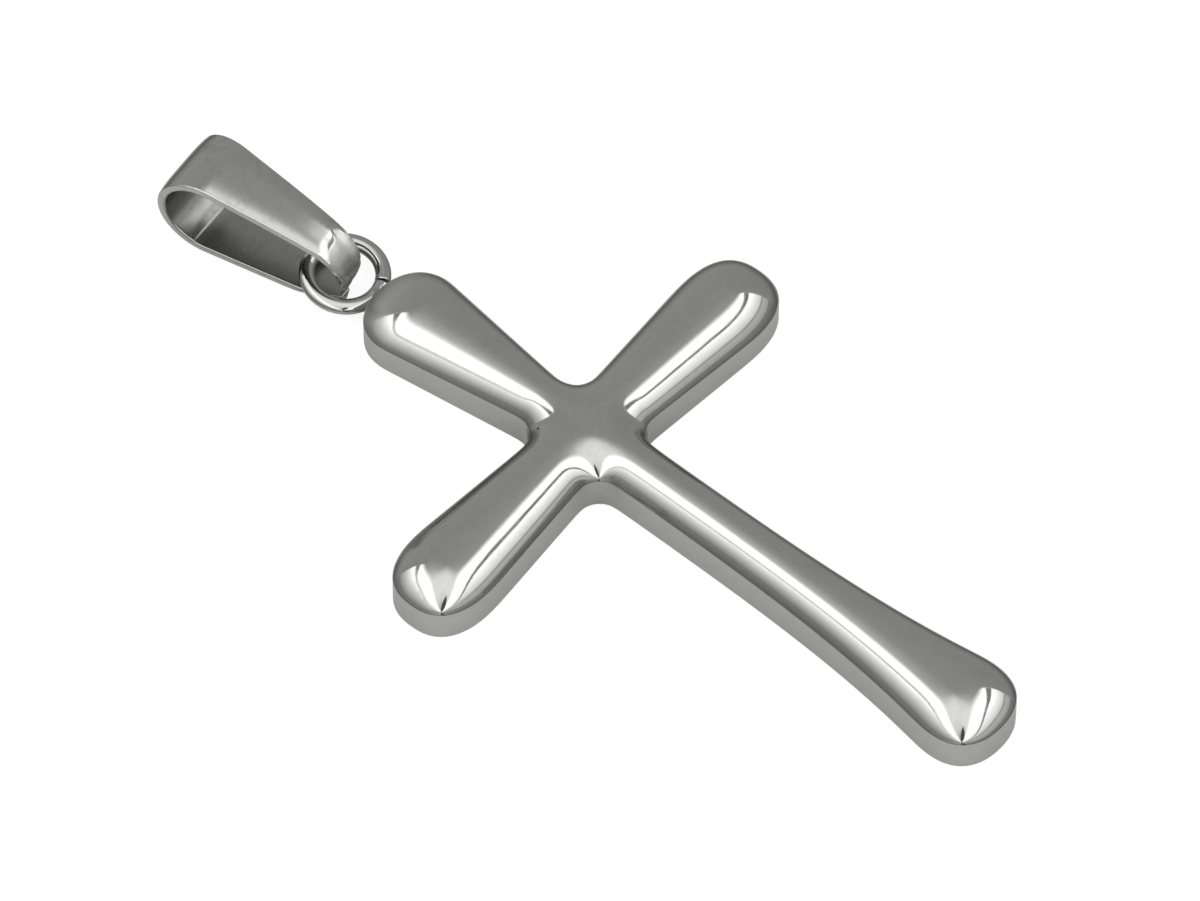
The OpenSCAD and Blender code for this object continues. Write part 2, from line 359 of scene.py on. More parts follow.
def solder_points(along=26, around=48):
    """Rows of circles from inside the arm to the middle of the wire. The radius is
    SOLDER_R * (1 + two low waves) + SOLDER_FLARE * (1 - share) ** 2."""
    share = np.linspace(0, 1, along)[:, None]
    b = np.linspace(0, 2 * math.pi, around, endpoint=False)
    waves = 0.05 * np.sin(2 * b + 0.6) + 0.04 * np.sin(3 * b + 4 * share + 1.1)
    radius = SOLDER_R * (1 + waves) + SOLDER_FLARE * (1 - share) ** 2
    y = TOP_ARM - SOLDER_FLARE + share * (SOLDER_FLARE + WIRE_R)
    return np.stack([radius * np.cos(b), y + 0 * radius, RING_Z + radius * np.sin(b)], -1)


solder_rows = solder_points()
rows, around = solder_rows.shape[:2]
points = np.concatenate([solder_rows.reshape(-1, 3), [solder_rows[0].mean(0), solder_rows[-1].mean(0)]])
solder_neck = make_piece("solder_neck", points, [
    grid_faces(rows, around)[:, ::-1],
    fan_faces(np.arange(around), len(points) - 2),
    fan_faces(np.arange((rows - 1) * around, rows * around), len(points) - 1, flip=True)])

# %% [markdown]
# The bail is one tapered strap, folded over through the ring. Its front leg comes
# down to a point and its lower leg meets it from inside. It is made as a profile
# carried along a path: a rounded, slightly crowned rectangle, as wide as the
# strap is at that place, along the strap's middle line seen from the side. The
# real nose was shaped by hand: it is pinched, bent a little to the right, ground
# flat in front, bevelled on its right and thinned at the point. Each of these is
# a small term of the same formula, so the strap stays one closed surface, which
# cutting it with other shapes would not keep.

# %% Sizes of the bail, in millimetres
STRAP_T = 0.6
LOOP_R, LOOP_REACH = 3.0, 8.55
NOSE_R, NOSE_REACH, NOSE_Z = 3.0, 2.6, 1.6
POINT_RISE = 0.02
LEG_RISE = math.radians(0.5)
STRAP_NARROW, STRAP_WIDE = 2.1 / 2, 4.55 / 2
TIP_HALF = 0.15
PINCH_TURN, PINCH_LEAN = math.radians(23), math.radians(24)
BAIL_SWING = math.radians(6.5)
TIP_BACK, TIP_LEFT = 0.75, 0.55
LEG_BOW, LEG_STOP = 48.0, 0.12
EDGE_SOFT, CROWN, WIDTH_SOFT = 0.10, 0.09, 0.12
# The left side of the nose near the floor: half width and its growth with height, and
# higher up: half width and its growth with height and with reach
LEFT_LOW, LEFT_HIGH = (0.12, 0.57), (0.69, 0.1, 0.15)
# The flat on the nose: depth and the arc over which it grows, the reach where it starts in
# the middle and how that grows to the right, and the sides where it starts to fade and ends
FACET_DEPTH, FACET_RUN = 0.23, 1.6
FACET_START, FACET_SLANT, FACET_FURTHEST = 1.08, 1.2, 1.75
FACET_FADE, FACET_END = 0.45, 1.4
GROUND_DEPTH = 0.012
BEVEL_SLOPE, BEVEL_SIDE, BEVEL_WIDTH = 0.45, 1.22, 0.6
NOSE_SHIFT, SHIFT_END = 0.27, 8.5
TIP_THIN, THIN_HEIGHT, TIP_NARROW = 0.3, 2.2, 0.22
LINING_STEP, LINING_END, LINING_RUN = 0.05, 9.3, 0.012
NOSE_STEPS, LEG_STEPS, TOP_STEPS, LOWER_STEPS = 170, 58, 170, 79
LEAST_HALF, LEAST_HEIGHT = 0.02, 0.004
print("bail in mm:", round(LOOP_REACH + LOOP_R, 2), "long,", 2 * LOOP_R, "high")

# %% Path of the bail's middle line


def arc(middle, radius, start, end, steps):
    """Points and outward normals on an arc, angles in radians from the tip-to-top axis."""
    a = np.linspace(start, end, steps)
    normal = np.stack([np.cos(a), np.sin(a)], -1)
    return np.array(middle) + radius * normal, normal


def strap_path():
    """Middle line of the strap from the point of the front leg, over the nose, up the front
    leg, round the top and back along the lower leg. The front leg is a very large arc that
    touches the nose's and the top's from outside: its middle lies LEG_BOW less their radii
    from theirs. Columns: reach and height, and the outward normal's two parts."""
    half = STRAP_T / 2
    low, high = np.array([NOSE_REACH, NOSE_Z]), np.array([LOOP_REACH, LOOP_R])
    span = np.linalg.norm(high - low)
    ahead = (high - low) / span
    upward = np.array([-ahead[1], ahead[0]])
    near, far = LEG_BOW - NOSE_R + half, LEG_BOW - LOOP_R + half
    beside = (near ** 2 - far ** 2 + span ** 2) / (2 * span)
    middle = low + beside * ahead - math.sqrt(near ** 2 - beside ** 2) * upward
    nose_end = math.atan2(*(low - middle)[::-1])
    top_start = math.atan2(*(high - middle)[::-1])
    nose_start = math.pi + math.asin((NOSE_Z - POINT_RISE) / (NOSE_R - half))
    nose = arc(low, NOSE_R - half, nose_start, nose_end, NOSE_STEPS)
    front = [part[1:-1] for part in arc(middle, LEG_BOW, nose_end, top_start, LEG_STEPS + 2)]
    top = arc(high, LOOP_R - half, top_start, -math.pi / 2 - LEG_RISE, TOP_STEPS)
    k = np.linspace(0, 1, LOWER_STEPS + 1)[1:, None]
    last = top[0][-1]
    lower = last + np.array([LEG_STOP - last[0], (last[0] - LEG_STOP) * math.tan(LEG_RISE)]) * k
    return np.concatenate([np.concatenate(p, -1) for p in
                           (nose, front, top, (lower, np.repeat(top[1][-1:], len(k), 0)))])


path = strap_path()
print("strap length in mm:", round(float(np.linalg.norm(np.diff(path[:, :2], axis=0), axis=1).sum()), 1))

# %% Bail
CORNER_POINTS, SIDE_POINTS, FACE_POINTS = 7, 7, 35


def strap_profile():
    """One cross section, anticlockwise: columns k, c and n. A point lies at the side
    k * (half width - EDGE_SOFT) + c and at the height n from the strap's middle line."""
    half = STRAP_T / 2
    a = np.linspace(0, math.pi / 2, CORNER_POINTS)
    one = np.ones(CORNER_POINTS)
    corner = EDGE_SOFT * np.cos(a), half - EDGE_SOFT + EDGE_SOFT * np.sin(a)
    flat = np.linspace(1, -1, FACE_POINTS + 2)[1:-1]
    side = np.linspace(1, -1, SIDE_POINTS + 2)[1:-1] * (half - EDGE_SOFT)
    out = [np.stack([one, *corner], -1), np.stack([flat, 0 * flat, 0 * flat + half], -1),
           np.stack([-one, -corner[0][::-1], corner[1][::-1]], -1),
           np.stack([-np.ones(SIDE_POINTS), -np.full(SIDE_POINTS, EDGE_SOFT), side], -1),
           np.stack([-one, -corner[0], -corner[1]], -1),
           np.stack([-flat, 0 * flat, 0 * flat - half], -1),
           np.stack([one, corner[0][::-1], -corner[1][::-1]], -1),
           np.stack([np.ones(SIDE_POINTS), np.full(SIDE_POINTS, EDGE_SOFT), -side], -1)]
    return np.concatenate(out)


def eased(value):
    """A change from 0 to 1 that starts and ends softly: v * v * (3 - 2 * v), clipped."""
    v = value.clip(0, 1)
    return v * v * (3 - 2 * v)


def half_width(y, z, left_nose):
    """Half width of the strap at a reach y and height z: the taper from narrow to wide, or
    the pinched faces TIP_HALF + y tan(turn) + z tan(lean) / cos(turn) where those are
    narrower, with a soft change from one to the other. The left side of the nose is pinched
    more, to the lesser of the two lines LEFT_LOW and LEFT_HIGH."""
    taper = STRAP_NARROW + (STRAP_WIDE - STRAP_NARROW) * y.clip(0) / (LOOP_REACH + LOOP_R)
    pinch = TIP_HALF + y * math.tan(PINCH_TURN) + z * math.tan(PINCH_LEAN) / math.cos(PINCH_TURN)
    left_pinch = np.minimum(LEFT_LOW[0] + LEFT_LOW[1] * z,
                            LEFT_HIGH[0] + LEFT_HIGH[1] * z + LEFT_HIGH[2] * y.clip(0))
    pinch = np.where(left_nose, np.minimum(pinch, left_pinch), pinch)
    return 0.5 * (taper + pinch - np.sqrt((taper - pinch) ** 2 + WIDTH_SOFT ** 2)).clip(LEAST_HALF)


def facet_cut(x, turn):
    """Depth of the flat that is ground on the nose, by the side x and the angle round the
    nose. It starts where the reach is FACET_START + FACET_SLANT * x ** 3, and over the arc s
    from there its depth grows as FACET_DEPTH * (1 - exp(-s / FACET_RUN)). It runs out from
    the side FACET_FADE to the side FACET_END."""
    reach = (FACET_START + FACET_SLANT * x ** 3).clip(0, FACET_FURTHEST)
    start = np.arccos((reach - NOSE_REACH) / NOSE_R)
    depth = FACET_DEPTH * (1 - np.exp(-NOSE_R * (turn - start).clip(0) / FACET_RUN))
    return depth * (1 - eased((x - FACET_FADE) / (FACET_END - FACET_FADE)))


def bevel_cut(x, z):
    """Depth of the bevel on the right of the nose: BEVEL_SLOPE times the way past a line that
    lies at BEVEL_SIDE at the height LOOP_R and comes in by 0.6 d + 0.3 d * abs(d), with d the
    depth below that height. The way counts up to BEVEL_WIDTH."""
    d = LOOP_R - z
    return BEVEL_SLOPE * (x - BEVEL_SIDE + 0.6 * d + 0.3 * d * abs(d)).clip(0, BEVEL_WIDTH)


def bail_points():
    """The profile at every place of the path: y and z are the middle line plus n times its
    normal, x follows the half width there. The outer face is crowned by CROWN * k ** 4. The
    top's lining is thinned by LINING_STEP from LINING_END to the lower leg's end. Below
    THIN_HEIGHT the front leg's thickness falls to the share TIP_THIN at its point. The nose
    is bent NOSE_SHIFT to the right, which eases out up the front leg and at the point. The
    flat and the bevel are cut into it along its normal. Also gives the points on the flat."""
    k, c, n = strap_profile().T
    half_t = STRAP_T / 2
    place, normal = path[:, None, :2], path[:, None, 2:]
    row, reach, height = np.arange(len(path))[:, None], path[:, :1], path[:, 1:2]
    on_nose, in_front = row < NOSE_STEPS, row < NOSE_STEPS + LEG_STEPS
    n = half_t - (half_t - n) * np.where(on_nose, TIP_THIN + (1 - TIP_THIN) * eased(height / THIN_HEIGHT), 1)
    thin = LINING_STEP / (1 + np.exp(((reach - LINING_END) / LINING_RUN).clip(-50, 50)))
    thin = np.where((row > len(path) // 2) & (height < LOOP_R), thin, 0)
    rise = n + np.where(n < 0, thin * -n / half_t, 0) - np.where(n > 0, CROWN * k ** 4 * n / half_t, 0)
    yz = place + rise[..., None] * normal
    half = half_width(yz[..., 0], yz[..., 1], on_nose & (k < 0))
    half = half - TIP_NARROW * (1 - eased(yz[..., 0])) * ~in_front * (k > 0)
    soft = (half / (3 * EDGE_SOFT)).clip(0, 1)
    x = k * (half - EDGE_SOFT * soft) + c * soft
    x = x + NOSE_SHIFT * eased(yz[..., 1]) * (1 - eased(yz[..., 0] / SHIFT_END)) * in_front
    cut = facet_cut(x, np.arctan2(path[:, 3], path[:, 2])[:, None] % (2 * math.pi))
    on_flat = (cut > GROUND_DEPTH) & on_nose & (n > 0)
    cut = (cut + bevel_cut(x, yz[..., 1])) * on_nose
    yz = yz - (cut * ((n + half_t) / STRAP_T).clip(0, 1))[..., None] * normal
    y, z = yz[..., 0], yz[..., 1].clip(LEAST_HEIGHT)
    turn, swing = math.cos(BAIL_SWING), math.sin(BAIL_SWING)
    return np.stack([x * turn - y * swing - TIP_LEFT,
                     x * swing + y * turn + RING_MIDDLE[1] - TIP_BACK, z], -1), on_flat


bail_rows, on_flat = bail_points()
rows, around = bail_rows.shape[:2]
outer_points = 2 * CORNER_POINTS + FACE_POINTS
inner_side = slice(outer_points + SIDE_POINTS, 2 * outer_points + SIDE_POINTS)
points = np.concatenate([bail_rows.reshape(-1, 3), [bail_rows[0].mean(0), bail_rows[-1].mean(0)]])
bail = make_piece("fold_over_bail", points, [
    grid_faces(rows, around)[:, ::-1],
    fan_faces(np.arange(around), len(points) - 2),
    fan_faces(np.arange((rows - 1) * around, rows * around), len(points) - 1, flip=True)])
# Finish of each face: 0 for the strap's outside, 1 for its lining, 2 for the flat on the nose
finish = np.zeros((rows - 1, around), np.int32)
finish[:, inner_side] = 1
finish[on_flat[1:] & np.roll(on_flat, -1, 1)[:-1]] = 2
finish = np.concatenate([finish.ravel(), np.zeros(2 * around, np.int32)])
bail.data.polygons.foreach_set("material_index", finish)
print("faces on the flat:", int((finish == 2).sum()))

# %% [markdown]
# Polished steel is nearly a mirror, and what tells it from chrome plate is its
# wear: fine rubbing marks, faint smudges and a gentle waviness left by the
# polishing wheel. Each of these is a node group with named inputs and outputs,
# built once, so that every finish can use it in its own strength.

# %% Helpers for node groups


def node_group(name, inputs, outputs):
    """An empty shader node group. Inputs are (name, type, value), outputs are (name, type)."""
    group = bpy.data.node_groups.new(name, "ShaderNodeTree")
    for label, kind, value in inputs:
        socket = group.interface.new_socket(label, in_out="INPUT", socket_type="NodeSocket" + kind)
        if value is not None:
            socket.default_value = value
    for label, kind in outputs:
        group.interface.new_socket(label, in_out="OUTPUT", socket_type="NodeSocket" + kind)
    return group, group.nodes.new("NodeGroupInput"), group.nodes.new("NodeGroupOutput")


def add(tree, kind, **values):
    """A node with its settings and the plain values of its inputs."""
    node = tree.nodes.new("ShaderNode" + kind)
    for key, value in values.items():
        if key in node.inputs.keys():
            node.inputs[key].default_value = value
        else:
            setattr(node, key, value)
    return node


def maths(tree, operation, first, second=None):
    """A Math node. Its inputs are sockets or numbers, and it returns its output socket."""
    node = add(tree, "Math", operation=operation)
    for socket, value in zip(node.inputs, (first, second)):
        if value is None:
            continue
        if isinstance(value, (int, float)):
            socket.default_value = value
        else:
            tree.links.new(value, socket)
    return node.outputs[0]


# %% Rubbing marks


def build_rubbing_marks():
    """Sparse thin lines: noise that is stretched 40 times along one direction, of which only
    the highest part is kept. Three directions are laid over each other."""
    group, source, target = node_group(
        "rubbing_marks", [("Vector", "Vector", None), ("Scale", "Float", 6.0), ("Amount", "Float", 0.5)],
        [("Mask", "Float")])
    total = None
    for turn, shift in ((0.35, 0.0), (-0.9, 3.7), (1.4, 8.1)):
        mapping = add(group, "Mapping", vector_type="POINT")
        mapping.inputs["Rotation"].default_value = (0.1, 0.05, turn)
        mapping.inputs["Location"].default_value = (shift, shift, 0)
        mapping.inputs["Scale"].default_value = (0.05, 2.0, 2.0)
        group.links.new(source.outputs["Vector"], mapping.inputs["Vector"])
        noise = add(group, "TexNoise", Detail=3.0, Roughness=0.6)
        group.links.new(mapping.outputs[0], noise.inputs["Vector"])
        group.links.new(source.outputs["Scale"], noise.inputs["Scale"])
        lines = add(group, "MapRange")
        lines.inputs["From Min"].default_value, lines.inputs["From Max"].default_value = 0.6, 0.78
        group.links.new(noise.outputs[0], lines.inputs["Value"])
        total = lines.outputs[0] if total is None else maths(group, "MAXIMUM", total, lines.outputs[0])
    group.links.new(maths(group, "MULTIPLY", total, source.outputs["Amount"]), target.inputs["Mask"])
    return group


def build_smudges():
    """Soft cloudy patches: two scales of noise multiplied, with their contrast raised."""
    group, source, target = node_group(
        "smudges", [("Vector", "Vector", None), ("Scale", "Float", 0.5), ("Amount", "Float", 0.5)],
        [("Mask", "Float")])
    clouds = []
    for factor, detail in ((1.0, 4.0), (4.5, 2.0)):
        noise = add(group, "TexNoise", Detail=detail, Roughness=0.55)
        group.links.new(source.outputs["Vector"], noise.inputs["Vector"])
        group.links.new(maths(group, "MULTIPLY", source.outputs["Scale"], factor), noise.inputs["Scale"])
        clouds.append(noise.outputs[0])
    both = maths(group, "MULTIPLY", clouds[0], clouds[1])
    shape = add(group, "MapRange", interpolation_type="SMOOTHSTEP")
    shape.inputs["From Min"].default_value, shape.inputs["From Max"].default_value = 0.2, 0.42
    group.links.new(both, shape.inputs["Value"])
    mask = maths(group, "MULTIPLY", shape.outputs[0], source.outputs["Amount"])
    group.links.new(mask, target.inputs["Mask"])
    return group


def build_wheel_waves():
    """The polishing wheel's faint waviness, as a height in millimetres: slow noise whose
    features are 1 to 3 mm long."""
    group, source, target = node_group(
        "wheel_waves", [("Vector", "Vector", None), ("Scale", "Float", 0.6), ("Height", "Float", 0.002)],
        [("Height", "Float")])
    noise = add(group, "TexNoise", Detail=1.5, Roughness=0.4)
    group.links.new(source.outputs["Vector"], noise.inputs["Vector"])
    group.links.new(source.outputs["Scale"], noise.inputs["Scale"])
    centred = maths(group, "SUBTRACT", noise.outputs[0], 0.5)
    group.links.new(maths(group, "MULTIPLY", centred, source.outputs["Height"]), target.inputs["Height"])
    return group


marks_group, smudge_group, waves_group = build_rubbing_marks(), build_smudges(), build_wheel_waves()
print("groups:", [g.name for g in (marks_group, smudge_group, waves_group)])

# %% [markdown]
# All pieces are the same steel, so one function makes the finish. The strap has
# been bent and handled, so its marks and smudges are stronger than those of the
# cross. Its lining was never polished and stays dull, and its darker tone is
# painted shade inside the strap's loop. The flat on its nose is ground, which
# spreads the light, and the solder is dull as well. Plain materials without
# these groups would look like plastic, because polished steel has no colour of
# its own.

# %% Polished steel
# What a smudge leaves of the tone, and what a smudge and a mark add to the roughness
SMUDGED, SMUDGE_ROUGH, MARK_ROUGH = (0.86, 0.86, 0.85), 0.10, 0.12


def steel(name, tone, roughness, marks, smudge, wave_height,
          mark_scale=6.0, wave_scale=0.6, smudge_scale=0.45, depth=0.0012):
    """Polished steel. The colour is the tone, darkened a little by smudges. The roughness
    rises with smudges and marks. The normal comes from the marks' depth and the wheel's
    waves, both in millimetres."""
    material = bpy.data.materials.new(name)
    material.use_nodes = True
    tree = material.node_tree
    shader = tree.nodes["Principled BSDF"]
    shader.inputs["Metallic"].default_value = 1.0
    place = add(tree, "TexCoord")
    mapping = add(tree, "Mapping", vector_type="POINT")
    mapping.inputs["Scale"].default_value = (1 / MM,) * 3
    tree.links.new(place.outputs["Object"], mapping.inputs["Vector"])

    def grouped(group, **values):
        node = add(tree, "Group", node_tree=group)
        tree.links.new(mapping.outputs[0], node.inputs["Vector"])
        for key, value in values.items():
            node.inputs[key].default_value = value
        return node.outputs[0]

    mark_mask = grouped(marks_group, Scale=mark_scale, Amount=marks)
    smudge_mask = grouped(smudge_group, Scale=smudge_scale, Amount=smudge)
    waves = grouped(waves_group, Scale=wave_scale, Height=wave_height)
    tint = add(tree, "Mix", data_type="RGBA")
    tint.inputs["A"].default_value = (*tone, 1.0)
    tint.inputs["B"].default_value = (*(a * b for a, b in zip(tone, SMUDGED)), 1.0)
    tree.links.new(smudge_mask, tint.inputs["Factor"])
    tree.links.new(tint.outputs["Result"], shader.inputs["Base Color"])
    rough = maths(tree, "ADD", maths(tree, "MULTIPLY", smudge_mask, SMUDGE_ROUGH), roughness)
    rough = maths(tree, "ADD", maths(tree, "MULTIPLY", mark_mask, MARK_ROUGH), rough)
    tree.links.new(rough, shader.inputs["Roughness"])
    height = maths(tree, "SUBTRACT", waves, maths(tree, "MULTIPLY", mark_mask, depth))
    bump = add(tree, "Bump", Strength=1.0, Distance=MM)
    tree.links.new(height, bump.inputs["Height"])
    tree.links.new(bump.outputs[0], shader.inputs["Normal"])
    return material


STEEL_TONE = (0.60, 0.60, 0.59)
cross_steel = steel("polished cross steel", STEEL_TONE, roughness=0.05, marks=0.45, smudge=0.4,
                    wave_height=0.0028, smudge_scale=0.6)
strap_steel = steel("handled strap steel", STEEL_TONE, roughness=0.08, marks=0.45, smudge=1.0,
                    wave_height=0.0065, wave_scale=0.8, smudge_scale=0.5)
# The lining's darker tone is painted shade inside the loop, and its higher roughness is its real dull finish
shaded_lining_steel = steel("rolled strap lining with painted shade", (0.38, 0.38, 0.37), roughness=0.24, marks=0.2, smudge=0.5,
                     wave_height=0.010, wave_scale=0.7)
facet_steel = steel("ground facet steel", STEEL_TONE, roughness=0.27, marks=0.6, smudge=0.6,
                    wave_height=0.004, mark_scale=9.0)
wire_steel = steel("drawn wire steel", STEEL_TONE, roughness=0.04, marks=0.4, smudge=0.3, wave_height=0.002)
solder_metal = steel("set solder", (0.52, 0.52, 0.50), roughness=0.2, marks=0.3, smudge=0.9,
                     wave_height=0.014, wave_scale=1.4)

# %% [markdown]
# The heat of the solder leaves a haze on the arm's end, where no wheel reaches
# behind the ring, and the left arm has a small spot that was polished less. A
# second material with a hard border would show as a patch, so the roughness of
# the cross steel rises softly near these places.

# %% Dull places of the cross
# For each place: its middle, how far the haze is full and where it ends in millimetres, and
# what it adds to the roughness
HAZES = (((0.0, TOP_ARM, 1.9), 2.0, 3.4, 0.38), ((-11.8, 2.6, 2.3), 0.9, 2.0, 0.25))


def add_haze(material, middle, full, end, amount):
    """Adds to a steel's roughness near a place: the whole amount up to one distance, and less
    and less of it up to a second one."""
    tree = material.node_tree
    roughness = tree.nodes["Principled BSDF"].inputs["Roughness"]
    place = add(tree, "TexCoord")
    away = add(tree, "VectorMath", operation="DISTANCE")
    away.inputs[1].default_value = tuple(c * MM for c in middle)
    tree.links.new(place.outputs["Object"], away.inputs[0])
    extra = add(tree, "MapRange", interpolation_type="SMOOTHSTEP")
    for name, value in (("From Min", full * MM), ("From Max", end * MM), ("To Min", amount), ("To Max", 0.0)):
        extra.inputs[name].default_value = value
    tree.links.new(away.outputs["Value"], extra.inputs["Value"])
    usual = roughness.links[0].from_socket
    tree.links.new(maths(tree, "ADD", usual, extra.outputs[0]), roughness)


for haze in HAZES:
    add_haze(cross_steel, *haze)
print("dull places:", len(HAZES))

# %% Which finish each piece has
finishes = ((cross_body, "cross", [cross_steel]), (jump_ring, "cross", [wire_steel]),
            (solder_neck, "cross", [solder_metal]), (bail, "bail", [strap_steel, shaded_lining_steel, facet_steel]))
for piece, node, materials in finishes:
    for material in materials:
        piece.data.materials.append(material)
    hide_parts(node)
    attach(piece, "root")
print("finished pieces:", [piece.name for piece, _, _ in finishes])

# %% [markdown]
# Jewellery is pictured in a light tent: white cloth and two long softboxes at
# the photographer's side, grey cloth ahead. A mirror shows them directly, so
# their place decides where the bright bands run. All of it is far away, so it is
# painted on the world by two angles: how far a direction leans to the side, and
# how far it leans ahead. The tent stands still in the scene, whatever view is
# taken. Separate lamps would light the steel in the same way but would need one
# more object for every strip of cloth.
#
# Three small things are added. The grey cloth ahead is a little darker on its
# right than on its left. The side cloths are dimmer where the steel shows them
# by way of a second mirror, because the pendant stands in their way there. And
# the photographer's lens is a dark wedge in the cloth between the softboxes.

# %% Directions of the tent
# Level directions, away from the photographer and to the photographer's right
AHEAD = np.array([-math.sin(math.radians(CAMERA_TURN)), math.cos(math.radians(CAMERA_TURN)), 0])
ASIDE = np.cross(AHEAD, (0, 0, 1))
BRIGHTEST = 2.0
# Lean to the side in degrees, and the brightness of the side cloths there
LEFT_CLOTH = ((20, 0.9), (28, 1.8), (50, 1.75), (54, 1.45), (57, 1.28), (64, 1.0), (70, 0.81),
              (77, 0.63), (84, 0.47), (90, 0.34), (98, 0.24), (115, 0.2))
RIGHT_CLOTH = ((20, 0.9), (28, 1.8), (49, 1.75), (53, 1.5), (60, 1.26), (67, 1.02), (69.5, 0.95),
               (70.5, 0.5), (74, 0.5), (75.5, 0.68), (80, 0.64), (92, 0.48), (99, 0.28), (115, 0.25))
# Lean ahead in degrees, counted along a gable, and the brightness between the softboxes
MIDDLE_CLOTH = ((-80, 0.5), (-50, 1.0), (-20, 1.2), (5, 1.15), (15, 1.0), (20, 0.78), (24, 0.6),
                (28, 0.48), (33, 0.39), (38, 0.36), (90, 0.36))
GABLE_SLOPE, GABLE_REACH = 0.62, 25.0
# The softboxes: the leans to the side where they begin, and those ahead where they end
SOFTBOX_EDGE, SOFTBOX_END = (21.0, 27.0), (19.5, 18.5)
# The seam of a softbox: its lean to the side straight above, its slant, half its width
# there, how fast it widens ahead and how soft its edge is
SEAM_LEAN, SEAM_SLANT, SEAM_HALF, SEAM_WIDENS, SEAM_EDGE = 43.0, 0.35, 1.3, 0.17, 0.9
# Brightness of the left seam by the lean ahead, and of the right one
LEFT_SEAM, RIGHT_SEAM = ((-20, 0.9), (0, 0.7), (15, 0.28)), 0.3
# The lens: its lean to the side, the lean ahead of its point, how fast it widens below that,
# half the softness of its edge and its brightness
LENS_LEAN, LENS_TOP, LENS_WIDENS, LENS_EDGE, LENS_LEVEL = 12.0, -42.0, 0.5, 0.6, 0.09
# The cloth ahead: how much darker it is on the right and lighter on the left, and the lean
# ahead where that begins and is complete
AHEAD_TINT, TINT_FROM, TINT_TO = 0.12, 20, 40
# Side cloths seen by way of a second mirror: their brightness and how far it takes over
TWICE_MIRRORED, TWICE_SHARE = 0.22, 0.8
print("ahead:", AHEAD.round(3), "to the right:", ASIDE.round(3))

# %% Light tent
tent = bpy.data.worlds.new("light tent")
bpy.context.scene.world = tent
tent.use_nodes = True
tree = tent.node_tree
place = add(tree, "TexCoord")


def along(axis):
    """How far a direction of view points along an axis."""
    dot = add(tree, "VectorMath", operation="DOT_PRODUCT")
    dot.inputs[1].default_value = tuple(float(v) for v in axis)
    tree.links.new(place.outputs["Generated"], dot.inputs[0])
    return dot.outputs["Value"]


def scaled(value, low, high):
    """A value moved from the range low to high to 0 to 1."""
    node = add(tree, "MapRange")
    node.inputs["From Min"].default_value, node.inputs["From Max"].default_value = low, high
    tree.links.new(value, node.inputs["Value"])
    return node.outputs[0]


def cloth(angle, table):
    """Brightness by an angle in degrees, in straight lines between the table's rows."""
    low, high = table[0][0], table[-1][0]
    ramp = add(tree, "ValToRGB")
    ramp.color_ramp.interpolation = "LINEAR"
    stops = ramp.color_ramp.elements
    for _ in range(len(table) - 2):
        stops.new(0.5)
    for stop, (degrees, level) in zip(stops, table):
        stop.position = (degrees - low) / (high - low)
        stop.color = (*(level / BRIGHTEST,) * 3, 1)
    tree.links.new(scaled(angle, low, high), ramp.inputs[0])
    return ramp.outputs["Color"]


def even_cloth(level):
    """Cloth of one brightness everywhere."""
    node = add(tree, "RGB")
    node.outputs[0].default_value = (*(level / BRIGHTEST,) * 3, 1)
    return node.outputs[0]


def blend(first, second, share):
    """Two colours mixed by a share of the second."""
    node = add(tree, "Mix", data_type="RGBA")
    for socket, value in zip(("A", "B", "Factor"), (first, second, share)):
        tree.links.new(value, node.inputs[socket])
    return node.outputs["Result"]


side = along(ASIDE)
right_side = maths(tree, "GREATER_THAN", side, 0.0)
lean_side = maths(tree, "DEGREES", maths(tree, "ARCTAN2", maths(tree, "ABSOLUTE", side), along((0, 0, 1))))
lean_ahead = maths(tree, "DEGREES", maths(tree, "ARCSINE", along(AHEAD)))

gable = maths(tree, "MULTIPLY", maths(tree, "MINIMUM", lean_side, GABLE_REACH), GABLE_SLOPE)
middle = cloth(maths(tree, "ADD", lean_ahead, gable), MIDDLE_CLOTH)
walls = blend(cloth(lean_side, LEFT_CLOTH), cloth(lean_side, RIGHT_CLOTH), right_side)
twice = maths(tree, "GREATER_THAN", add(tree, "LightPath").outputs["Glossy Depth"], 1.5)
walls = blend(walls, even_cloth(TWICE_MIRRORED), maths(tree, "MULTIPLY", twice, TWICE_SHARE))
on_wall = maths(tree, "MULTIPLY", scaled(lean_side, *SOFTBOX_EDGE), scaled(lean_ahead, *SOFTBOX_END))
cloths = blend(middle, walls, on_wall)

# %% Seams of the softboxes and the photographer's lens
seam_middle = maths(tree, "SUBTRACT", SEAM_LEAN, maths(tree, "MULTIPLY", lean_ahead, SEAM_SLANT))
off_seam = maths(tree, "ABSOLUTE", maths(tree, "SUBTRACT", lean_side, seam_middle))
widening = maths(tree, "MULTIPLY", maths(tree, "MAXIMUM", lean_ahead, 0.0), SEAM_WIDENS)
seam_half = maths(tree, "ADD", widening, SEAM_HALF)
in_seam = scaled(maths(tree, "SUBTRACT", off_seam, seam_half), SEAM_EDGE, 0.0)
in_seam = maths(tree, "MULTIPLY", in_seam, on_wall)
seams = blend(cloth(lean_ahead, LEFT_SEAM), even_cloth(RIGHT_SEAM), right_side)
cloths = blend(cloths, seams, in_seam)

lean_right = maths(tree, "MULTIPLY", lean_side, maths(tree, "SIGN", side))
off_lens = maths(tree, "ABSOLUTE", maths(tree, "SUBTRACT", lean_right, LENS_LEAN))
lens_half = maths(tree, "MULTIPLY", maths(tree, "SUBTRACT", LENS_TOP, lean_ahead), LENS_WIDENS)
in_lens = scaled(maths(tree, "SUBTRACT", off_lens, lens_half), LENS_EDGE, -LENS_EDGE)
cloths = blend(cloths, even_cloth(LENS_LEVEL), in_lens)

